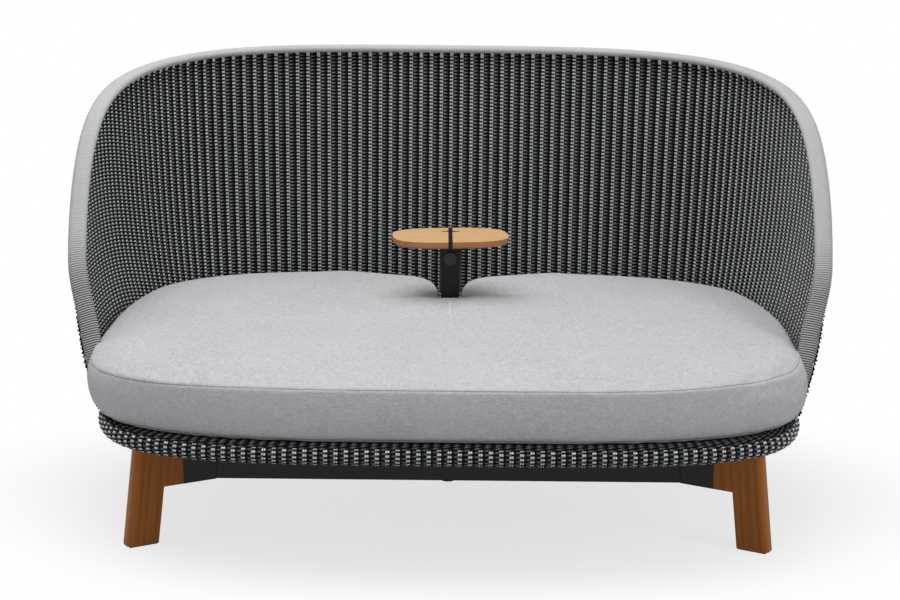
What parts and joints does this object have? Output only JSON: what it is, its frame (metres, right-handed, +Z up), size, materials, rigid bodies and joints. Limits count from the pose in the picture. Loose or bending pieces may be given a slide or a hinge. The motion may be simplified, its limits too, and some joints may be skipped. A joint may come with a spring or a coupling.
{
  "type": "outdoor daybed",
  "caption": "Outdoor daybed with a woven bucket back, bound rim, one boxed seat cushion, splayed timber legs on steel beams and a swivel side table on a centre post.",
  "frame": {"origin": "middle of the footprint on the floor", "axes": "+Z up, +Y towards the back of the daybed, +X to the right seen from the front"},
  "size_m": [1.6574, 1.1149, 0.958],
  "materials": {
    "black_steel": "black powder coat, satin",
    "plain_steel": "stainless fasteners",
    "leg_timber": "oiled teak, mid brown",
    "table_timber": "oiled teak, honey",
    "dark_weave": "dark outdoor cord woven over pairs of pale cords",
    "deck_weave": "dark woven webbing",
    "rim_cord": "light grey round cord wound side by side",
    "cushion_fabric": "light grey melange outdoor fabric",
    "black_plastic": "black moulded plastic",
    "pale_plastic": "natural bearing plastic",
    "black_rubber": "black rubber"
  },
  "bodies": {
    "frame": {"front_beam": "black_steel", "rear_beam": "black_steel", "center_cross": "black_steel", "arm_front_left": "black_steel", "arm_front_right": "black_steel", "arm_rear_left": "black_steel", "arm_rear_right": "black_steel", "leg_front_left": "leg_timber", "leg_front_right": "leg_timber", "leg_rear_left": "leg_timber", "leg_rear_right": "leg_timber", "leg_bolts": "plain_steel", "leg_glides": "black_plastic", "left_rail": "black_steel", "center_rail": "black_steel", "right_rail": "black_steel", "rail_bolts": "plain_steel", "front_bearer": "black_steel", "middle_bearer": "black_steel", "rear_bearer": "black_steel", "seat_deck": "deck_weave", "seat_ring": "black_steel", "pan_weave": "dark_weave", "back_weave": "dark_weave", "rim_tube": "black_steel", "rim_binding": "rim_cord", "seat_cushion": "cushion_fabric", "post_tube": "black_steel", "post_support": "black_steel", "post_foot": "black_rubber", "thrust_washer": "pale_plastic"},
    "table_head": {"table_sleeve": "black_steel", "lower_bush": "pale_plastic", "upper_bush": "pale_plastic", "table_flange": "black_steel", "table_bar": "black_steel", "table_key": "black_steel", "table_left": "table_timber", "table_right": "table_timber", "table_screws": "plain_steel"},
    "lock": {"lock_knob": "black_plastic", "knob_stud": "plain_steel"}
  },
  "joints": [
    {"name": "table_swivel", "type": "hinge", "parent": "frame", "child": "table_head", "pos_m": [0, 0.12251, 0.5], "axis": [0, 0, 1], "continuous": true},
    {"name": "lock_turn", "type": "hinge", "parent": "table_head", "child": "lock", "pos_m": [0, 0.08341, 0.531], "axis": [0, -1, 0], "range_deg": [0, 270]}
  ]
}
